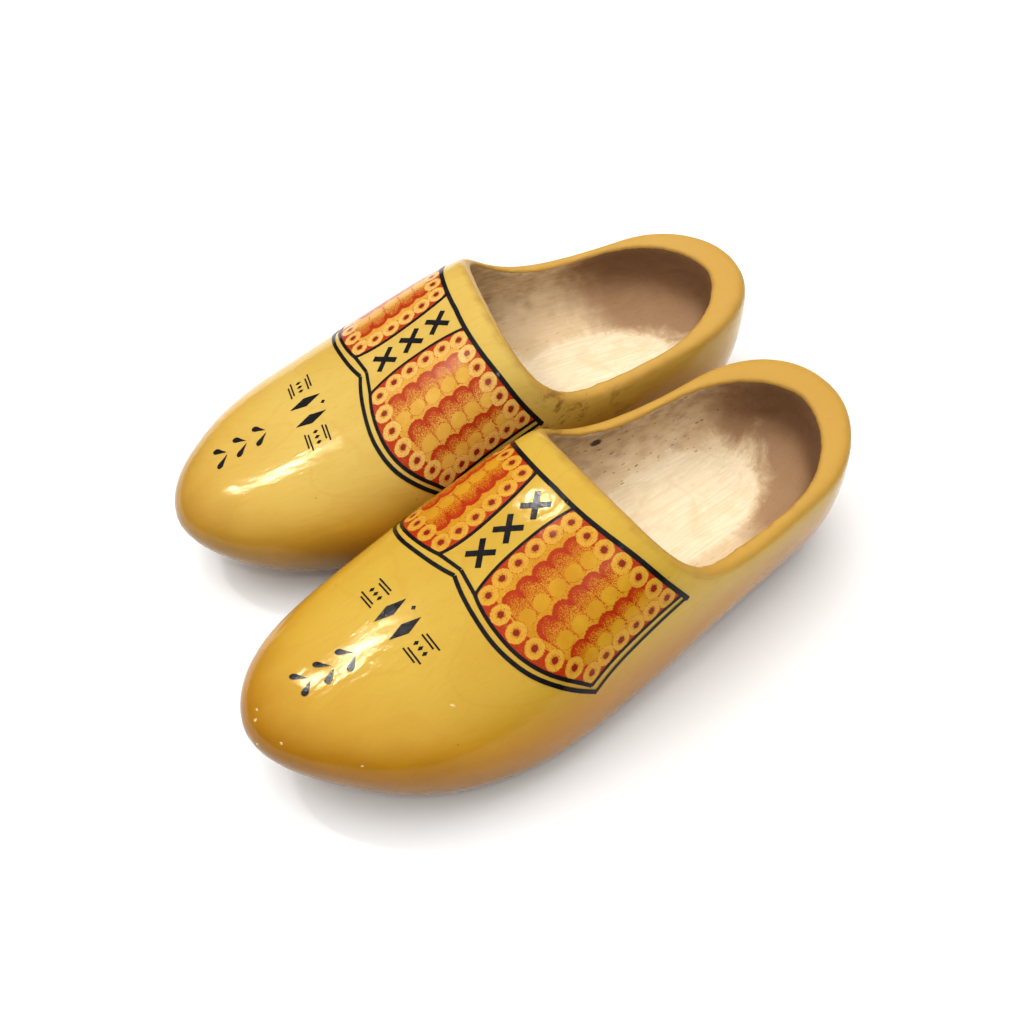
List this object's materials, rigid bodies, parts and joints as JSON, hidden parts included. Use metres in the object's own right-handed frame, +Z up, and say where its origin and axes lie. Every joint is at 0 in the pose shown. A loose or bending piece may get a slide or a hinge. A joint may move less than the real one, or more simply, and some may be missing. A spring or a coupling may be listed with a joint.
{
  "type": "wooden clog",
  "caption": "Carved, lacquered slip-on wooden clogs with upturned round toes, high vamps, low open heels and a painted vamp border with patterned fields, as a loose pair.",
  "frame": {"origin": "centre of the pair's bounding box, on the ground plane under the soles", "axes": "+Z up, toes toward -Y, the wearer's left clog on +X; each clog turned 8 degrees toes out"},
  "size_m": [0.2418, 0.3016, 0.0945],
  "materials": {
    "raw_poplar": "raw carved wood, matte, brown-grey stains",
    "amber_lacquer": "clear amber lacquer over poplar, high gloss",
    "black_enamel": "gloss black enamel paint",
    "red_stencil": "red stippled stencil paint under gloss varnish"
  },
  "bodies": {
    "right_clog": {"right_clog_body": "raw_poplar", "right_lacquer_coat": "amber_lacquer", "right_outer_field": "red_stencil", "right_inner_field": "red_stencil", "right_panel_outline": "black_enamel", "right_lace_crosses": "black_enamel", "right_toe_sprig": "black_enamel", "right_vamp_motif": "black_enamel"},
    "left_clog": {"left_clog_body": "raw_poplar", "left_lacquer_coat": "amber_lacquer", "left_outer_field": "red_stencil", "left_inner_field": "red_stencil", "left_panel_outline": "black_enamel", "left_lace_crosses": "black_enamel", "left_toe_sprig": "black_enamel", "left_vamp_motif": "black_enamel"}
  },
  "joints": [
    {"name": "left_clog_lift", "type": "slide", "parent": "right_clog", "child": "left_clog", "axis": [0, 0, 1], "range_m": [0, 0.18]}
  ]
}
